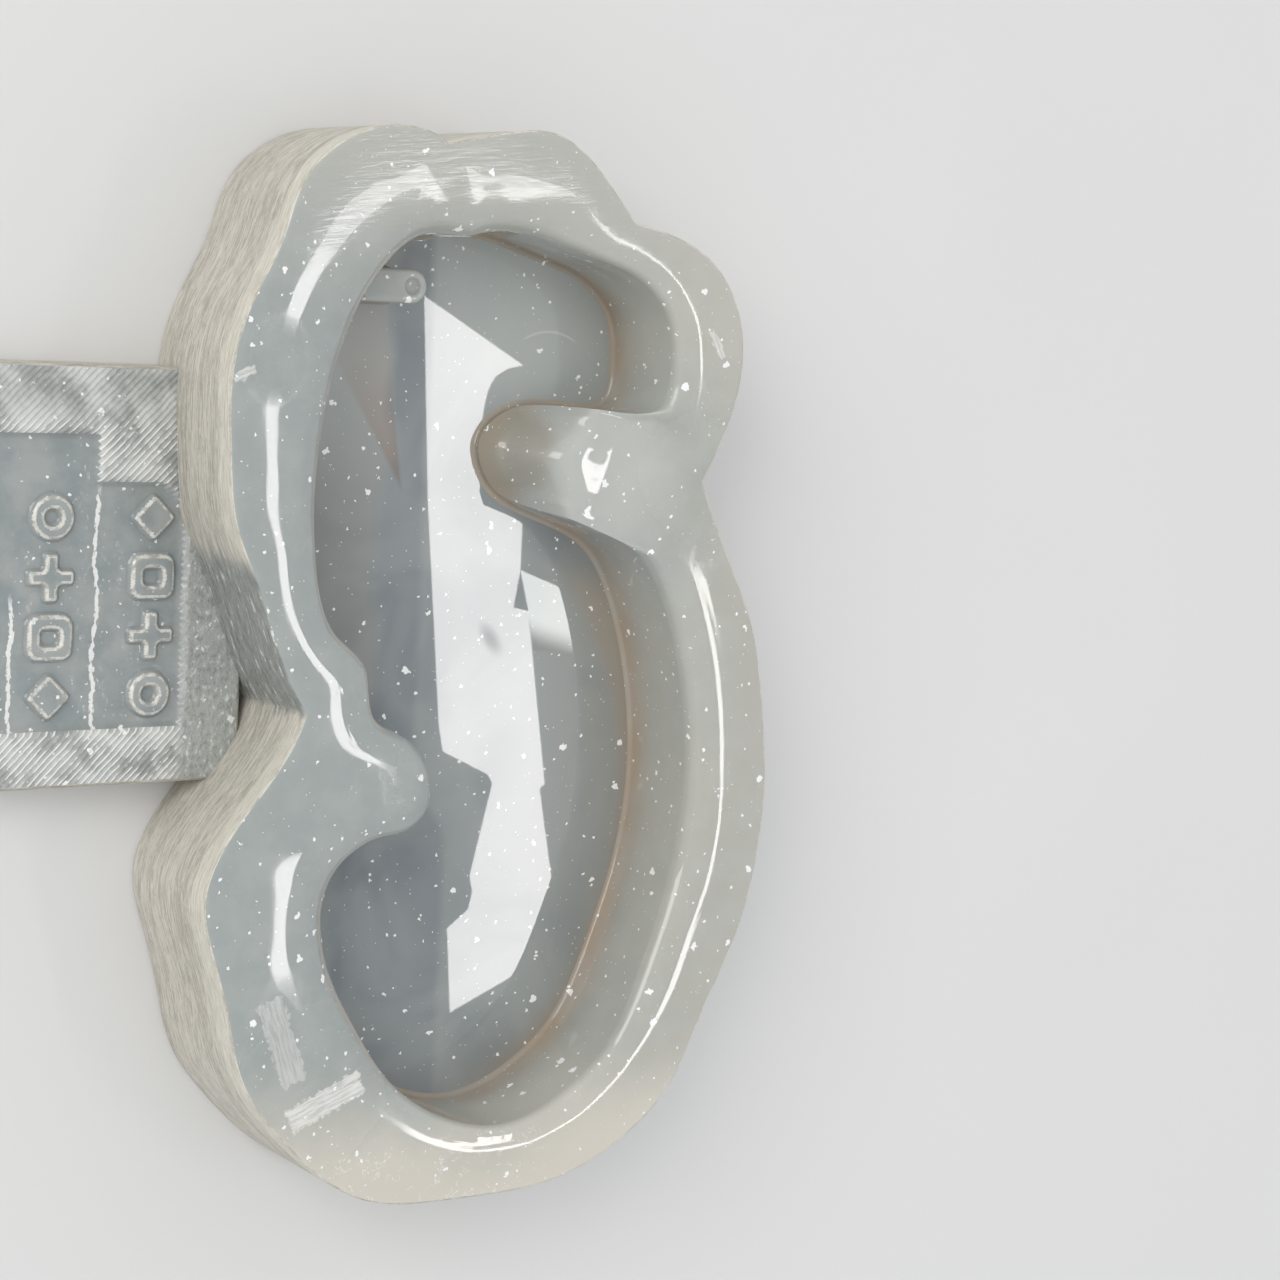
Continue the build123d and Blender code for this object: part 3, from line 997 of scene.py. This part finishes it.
def smooth_material():
    """The rim and the cavity's walls: glassy, with dull places and a brushed stretch at the top."""
    t = Nodes("silicone_smooth")
    place = t.place()
    mottle = t.noise(place, 0.35, 5.0, 0.6)
    colour = tinted_rim(t, place, mottle)
    colour = walls_painted_light(t, place, colour)
    colour = tongue_tone_and_refracted_tip(t, place, colour)
    colour = marked_rim(t, place, colour)
    worn = 0.0
    for x, y, reach in DULL:
        away = t.vector("DISTANCE", place, (x, y, 12.0))
        worn = t.math("MAXIMUM", worn, t.between(away, reach, 0.5 * reach))
    normal = t.bump(t.noise(place, 0.16, 1.0, 0.4), 0.0005, 0.04)
    normal = t.bump(t.noise(place, 1.5, 4.0, 0.7), 0.0004, t.times(worn, 0.35), normal)
    brushed = t.noise(t.place((0.22, 2.2, 0.5), turn=math.radians(-8)), 1.0, 3.0, 0.6)
    normal = t.bump(brushed, 0.0002, t.between(t.axis(place, 1), 29, 34, 0.0, 0.22), normal)
    rough = t.add(t.between(mottle, 0.3, 0.8, 0.02, 0.07), t.times(worn, 0.3))
    silicone(t, colour, rough, normal)
    t.set(Coat_Weight=t.times(t.minus(1.0, worn), 0.6))
    return t.material


# ---------------- the cavity's floor

def floor_shade_strip(t, x, bent, y, cloud):
    """1 on a dark upright strip of painted shade, which widens below."""
    spread = t.between(y, -9, -15, 0.0, 3.2)
    left = t.between(t.add(bent, spread), 0.2, 2.2)
    right = t.between(t.minus(x, spread), 5.4, 4.2)
    return t.times(left, right, t.between(cloud, 0.3, 0.6, 0.6, 0.3))


def floor_leaf_reflection(t, x, y, cloud):
    """1 on a painted brown reflection like a hanging leaf, between two slanted lines."""
    right = t.add(x, t.times(y, 0.155))
    low = t.add(t.times(x, 1.6), y)
    leaf = t.times(t.between(right, 5.0, 4.6), t.between(low, 17.4, 18.4))
    return t.times(leaf, t.between(cloud, 0.3, 0.7, 0.95, 0.7))


def floor_scratch(t, place, y):
    """1 on a thin curved scratch, the top of a circle."""
    off = t.gap(t.vector("DISTANCE", place, (15.9, 21.7, 3.3)), 4.6)
    return t.times(t.between(off, 0.13, 0.05), t.between(y, 25.4, 25.9), 0.45)


def floor_foot_refraction(t, place, x, y):
    """1 on a painted refraction along the foot of the right wall, which is near an ellipse."""
    out = t.vector("LENGTH", t.stretched(t.about(place, (8.0, -12.0, 3.3)), (1 / 18, 1 / 24, 0)))
    return t.times(t.between(out, 0.9, 1.0, 0.0, 0.6), t.between(x, 8, 16), t.between(y, 9, 4))


def floor_material():
    """The cavity's floor, cast against a varnished face: dark, clear and mirror-smooth."""
    t = Nodes("silicone_floor")
    place = t.place()
    x, y = t.axis(place, 0), t.axis(place, 1)
    cloud = t.noise(place, 0.09, 3.0, 0.5, 0.6)
    bent = t.add(x, t.times(t.minus(t.noise(place, 0.12, 2.0), 0.5), 5.0))
    colour = t.mix(t.between(cloud, 0.35, 0.65), *FLOOR_DARK)
    # painted reflection: brownish on the left of the floor
    left_reflection = t.times(t.between(bent, 2.0, 0.4), t.between(y, -12, 2), 0.3)
    colour = t.mix(left_reflection, colour, FLOOR_LEFT_REFLECTION)
    # painted reflection: a brown leaf shape
    colour = t.mix(floor_leaf_reflection(t, x, y, cloud), colour, FLOOR_LEAF_REFLECTION)
    # painted light: lighter towards the top
    colour = t.mix(t.between(t.add(y, t.times(cloud, 6.0)), 14, 30, 0, 0.75), colour, FLOOR_TOP_LIGHT)
    # painted shade: a dark upright strip
    colour = t.mix(floor_shade_strip(t, x, bent, y, cloud), colour, FLOOR_SHADE_STRIP)
    colour = t.mix(t.between(t.add(x, t.times(cloud, 8.0)), 19, 31, 0, 0.6), colour, FLOOR_RIGHT)
    colour = t.mix(floor_scratch(t, place, y), colour, FLOOR_SCRATCH)
    # painted refraction: a brown band along the right wall's foot
    colour = t.mix(floor_foot_refraction(t, place, x, y), colour, FLOOR_FOOT_REFRACTION)
    return silicone(t, colour, 0.012, soft=0.15)


# ---------------- the tab and its marks

CREASE_HIGHLIGHTS = ((-22.8, 14.0), (-29.4, 6.0))     # x of each crease and how far up it reaches
LINE_PITCH = 0.42         # the printed master's diagonal lines, in millimetres
LINE_TURN = math.radians(45)


def with_crease_highlights(t, place, colour):
    """Adds two ragged bright lines along the tab's bend: painted highlights of the bend."""
    x, y = t.axis(place, 0), t.axis(place, 1)
    wobble = t.times(t.minus(t.noise(t.place((0.1, 0.2, 1), uv=True), 1.0, 3.0), 0.5), 1.3)
    ragged = t.noise(t.place((3.0, 1.2, 1), uv=True), 1.0, 4.0, 0.7)
    for crease, reach in CREASE_HIGHLIGHTS:
        wide = t.between(ragged, 0.35, 0.65, 0.05, 0.24)
        line = t.math("LESS_THAN", t.gap(t.add(x, wobble), crease), wide)
        line = t.times(line, t.between(y, reach, reach - 1.5), t.between(ragged, 0.34, 0.42, 0.0, 0.9))
        # painted highlight along the bend
        colour = t.mix(line, colour, CREASE_HIGHLIGHT)
    return colour


def panel_material(name, crease_highlights):
    """The tab's smooth recessed panel, with the painted highlights of its creases, or the marks."""
    t = Nodes(name)
    place = t.place(uv=crease_highlights)
    cloud = t.noise(place, 0.3, 4.0, 0.55)
    colour = t.mix(t.between(cloud, 0.3, 0.7), *PANEL)
    if crease_highlights:
        colour = with_crease_highlights(t, place, colour)
    normal = t.bump(t.noise(place, 0.9, 3.0, 0.5), 0.0003, 0.35)
    return silicone(t, colour, 0.1, normal, place=place)


def ridge_material():
    """The pale edges of the raised marks, where the silicone bends the light most."""
    t = Nodes("silicone_ridges")
    colour = t.mix(t.between(t.noise(t.place(), 1.6, 3.0, 0.6), 0.35, 0.6), *RIDGE)
    return silicone(t, colour, 0.1, flecks=False)


def printed_lines(t, place):
    """Rises from 0 to 1 and falls again across each diagonal line of the printed master."""
    turned = t.place(turn=LINE_TURN, uv=True)
    across = t.add(t.axis(turned, 0), t.times(t.noise(place, 0.5, 2.0), 0.25))
    wave = t.math("SINE", t.times(across, 2 * math.pi / LINE_PITCH))
    return t.add(t.times(wave, 0.5), 0.5)


def granular(t, grains):
    """The granular stretch beside the body."""
    colour = t.mix(t.between(grains, 0.56, 0.62), GRAINS[1], GRAINS[2])
    return t.mix(t.between(grains, 0.38, 0.5), GRAINS[0], colour)


def border_material():
    """The tab's border, with the fine diagonal lines of the printed master."""
    t = Nodes("silicone_border")
    place = t.place(uv=True)
    x, y = t.axis(place, 0), t.axis(place, 1)
    lines = printed_lines(t, place)
    patch = t.noise(t.place((0.35, 0.35, 1), turn=LINE_TURN, uv=True), 1.0, 4.0, 0.6)
    broken = t.noise(t.place((2.4, 0.5, 1), turn=LINE_TURN, uv=True), 1.0, 3.0, 0.6)
    grains = t.noise(t.place((2.6, 1.5, 1), uv=True), 1.0, 5.0, 0.75)
    # the lines fade above the panel, and beside the body the border is granular instead
    ragged = t.add(x, t.times(broken, 1.4))
    beside = t.times(t.between(ragged, -15.6, -14.8), t.between(y, 14.5, 13.0))
    bright = t.times(t.between(lines, 0.74, 0.92), t.between(t.add(patch, broken), 0.88, 0.98))
    bright = t.times(bright, t.between(t.add(y, patch), 19.6, 18.2, 0.15, 1.0))
    bright = t.times(bright, t.minus(1.0, beside), 0.92)
    colour = t.mix(t.between(patch, 0.3, 0.7), *BORDER)
    colour = t.mix(bright, colour, PRINTED_LINE)
    colour = t.mix(t.times(beside, 0.75), colour, granular(t, grains))
    plain = t.minus(1.0, t.times(beside, 0.9))
    normal = t.bump(t.times(lines, plain), 0.00012, 0.6)
    normal = t.bump(t.times(grains, beside), 0.0003, 0.6, normal)
    normal = t.bump(t.noise(place, 3.0, 4.0, 0.7), 0.00015, 0.5, normal)
    return silicone(t, colour, 0.22, normal, place=place)


# ---------------- materials on their pieces

def dress(piece, *materials):
    for material in materials:
        piece.data.materials.append(material)


border = border_material()
panel = panel_material("silicone_panel", crease_highlights=True)
raised = panel_material("silicone_marks", crease_highlights=False)
ridge = ridge_material()
smooth = smooth_material()
outside = outside_material()
dress(body, outside, smooth, floor_material(), border)
dress(peg, smooth)
dress(tab, outside, border, panel)
for piece in marks.values():
    dress(piece, raised, ridge)

for face in tab.data.polygons:
    if face.material_index == TAB_BORDER and panel_amount(np.array([face.center[:2]]))[0] > 0.5:
        face.material_index = TAB_PANEL


# ---------------- riding on the frame

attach(body, BODY)
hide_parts("base_slab", "outer_wall", "cavity_tongue", "waist_lobe")
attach(peg, BODY)
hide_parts("ring_hole_peg")
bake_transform(tab)
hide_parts("tab_flex_strip", "tab_end_plate", "tab_end_border_upper", "tab_end_border_lower",
            "tab_root_border_upper", "tab_root_border_lower")
for node, piece in marks.items():
    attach(piece, TAB if node.startswith("end") else BODY)
    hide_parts(node)


# ---------------- floor, light and camera

def flat_object(name, corners, material):
    mesh = bpy.data.meshes.new(name)
    mesh.from_pydata(corners, [], [tuple(range(len(corners)))])
    mesh.materials.append(material)
    made = new_object(name, mesh)
    return made


GROUND = ((0.72, 0.72, 0.71), (0.76, 0.76, 0.755))
PANE_GLOW = 10.0
PANE_HEIGHT = 1.0


def ground_material():
    t = Nodes("studio_floor")
    cloud = t.noise(t.place((0.02, 0.02, 0.02)), 1.0, 2.0)
    t.set(Base_Color=t.mix(cloud, *GROUND), Roughness=0.75)
    return t.material


flat_object("studio_ground", [(-3, -3, 0), (3, -3, 0), (3, 3, 0), (-3, 3, 0)], ground_material())


def pane_material(t, colour, glow):
    """Finishes a pane's material, which only glows."""
    t.set(Base_Color=(0.0, 0.0, 0.0, 1.0), Roughness=1.0, Specular_IOR_Level=0.0)
    t.set(Emission_Color=(*colour, 1.0), Emission_Strength=glow)
    return t.material


def large_pane_material():
    """The large pane, with a soft shade near its middle."""
    t = Nodes("studio_pane_large")
    turned = t.about(t.place(), (640.0, -138.5, 1000.0), -52)
    out = t.vector("LENGTH", t.stretched(turned, (1 / 14, 1 / 6.5, 0)))
    return pane_material(t, (1.0, 0.975, 0.98), t.between(out, 0.1, 1.0, 0.5 * PANE_GLOW, PANE_GLOW))


def small_pane_material():
    """The small pane, which fades out along its lower edge."""
    t = Nodes("studio_pane_small")
    place = t.place()
    up = t.add(t.axis(place, 1), t.times(t.minus(t.axis(place, 0), 663.0), 0.315))
    return pane_material(t, (0.985, 1.0, 0.975), t.between(up, -143.0, -127.0, 0.0, PANE_GLOW))


# The outlines of the two panes that the cavity's floor mirrors.
PANES = (
    ((0.593, 0.031), (0.652, -0.001), (0.643, -0.003), (0.636, -0.007), (0.632, -0.014), (0.630, -0.023),
     (0.629, -0.033), (0.631, -0.045), (0.641, -0.059), (0.656, -0.071), (0.656, -0.105), (0.653, -0.123),
     (0.662, -0.125), (0.677, -0.215), (0.674, -0.217), (0.686, -0.274), (0.688, -0.257), (0.700, -0.254),
     (0.695, -0.301), (0.626, -0.330), (0.622, -0.286), (0.634, -0.277), (0.636, -0.268), (0.634, -0.260),
     (0.645, -0.213), (0.642, -0.208), (0.615, -0.195), (0.612, -0.182), (0.600, -0.069)),
    ((0.656, -0.104), (0.704, -0.122), (0.704, -0.137), (0.701, -0.148), (0.666, -0.145), (0.662, -0.125)),
)
for n, (corners, glow) in enumerate(zip(PANES, (large_pane_material(), small_pane_material()))):
    pane = flat_object(f"studio_pane_{n + 1}", [(x, y, PANE_HEIGHT) for x, y in corners], glow)
    pane.visible_camera = False

world = bpy.data.worlds.new("studio")
bpy.context.scene.world = world
world.use_nodes = True
sky = world.node_tree.nodes["Background"]
sky.inputs["Color"].default_value = (0.97, 0.985, 1.0, 1.0)
sky.inputs["Strength"].default_value = 0.8

light = bpy.data.lights.new("soft_left", "AREA")
light.shape = "RECTANGLE"
light.size = 0.7
light.size_y = 0.7
light.energy = 6.0
light.color = (1.0, 0.97, 0.93)
lamp = new_object("soft_left", light)
lamp.location = (-0.9, 0.5, 0.7)
lamp.rotation_euler = (-lamp.location).to_track_quat("-Z", "Y").to_euler()

# The camera stands above the tab's side, looking down at the cavity.
RIGHT = Vector((0.81843, 0.05165, 0.57228))
UP = Vector((0.02449, 0.99191, -0.12455))
BACK = Vector((-0.57408, 0.11596, 0.81054))
CAMERA_PLACE = (-0.10828, 0.02822, 0.19340)
camera_data = bpy.data.cameras.new("camera")
camera_data.sensor_width = 36
camera_data.lens = 78.78
camera_data.clip_start = 0.01
camera = new_object("camera", camera_data)
turn = Matrix((RIGHT, UP, BACK)).transposed().to_4x4()
camera.matrix_world = Matrix.Translation(CAMERA_PLACE) @ turn
bpy.context.scene.camera = camera
bpy.context.scene.view_settings.view_transform = "Standard"
